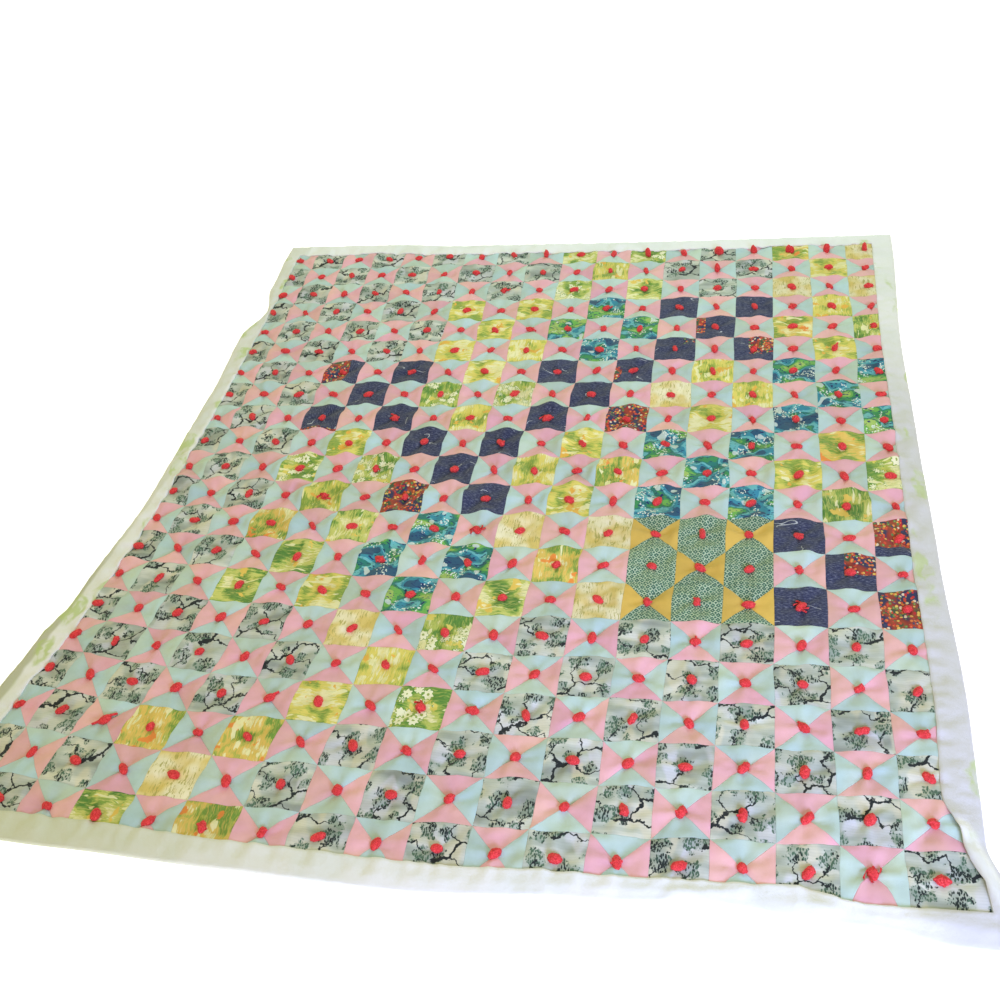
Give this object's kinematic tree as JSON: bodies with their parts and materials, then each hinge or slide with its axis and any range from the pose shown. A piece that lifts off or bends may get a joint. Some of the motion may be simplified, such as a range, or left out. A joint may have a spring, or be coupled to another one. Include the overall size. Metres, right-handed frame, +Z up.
{
  "type": "patchwork quilt",
  "caption": "Puffy hand-tied patchwork quilt lying flat, squares of print and hourglass blocks in a checkerboard, with the pale backing turned over to the front as a hem.",
  "frame": {"origin": "bottom centre of the box round the flat quilt, on the surface that it lies on", "axes": "+Z up out of the front, +Y along the length towards the far end, +X across the width to the right seen from the near end"},
  "size_m": [1.9842, 2.225, 0.0266],
  "materials": {
    "patchwork": "plain-weave cotton in solids and prints, matt",
    "backing": "thin white cotton sheeting with a pale green leaf print, matt",
    "tie_yarn": "red wool yarn, fuzzy"
  },
  "bodies": {
    "root": {"patchwork_panel": "patchwork", "backing_sheet": "backing"}
  },
  "joints": []
}
